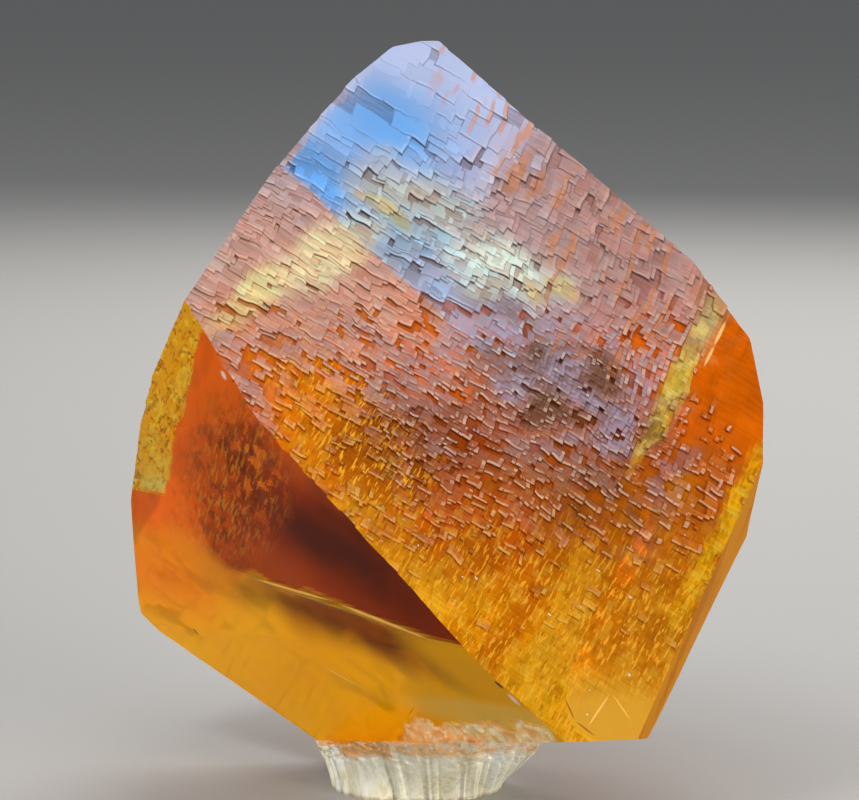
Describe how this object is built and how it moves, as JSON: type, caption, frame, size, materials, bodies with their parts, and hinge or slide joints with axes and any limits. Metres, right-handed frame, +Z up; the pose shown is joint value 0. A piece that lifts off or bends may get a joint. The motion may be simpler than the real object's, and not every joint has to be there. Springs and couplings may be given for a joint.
{
  "type": "honey calcite crystal",
  "caption": "Blunt rhombohedral honey calcite crystal with a shingled growth face, standing tip up on a short stump of pale fibrous matrix that is cut flat underneath.",
  "frame": {"origin": "middle of the flat cut foot of the matrix stump, on the surface that the specimen stands on", "axes": "+Z up through the crystal's tip, -Y towards the viewer of the big shingled face, +X to that viewer's right"},
  "size_m": [0.0624, 0.0573, 0.0746],
  "materials": {
    "honey_calcite": "clear to cloudy honey amber, glossy cleavage and growth faces",
    "pale_matrix": "matt cream fibrous rock with a pinkish peach crust"
  },
  "bodies": {
    "root": {"calcite_crystal": "honey_calcite", "matrix_base": "pale_matrix"}
  },
  "joints": []
}
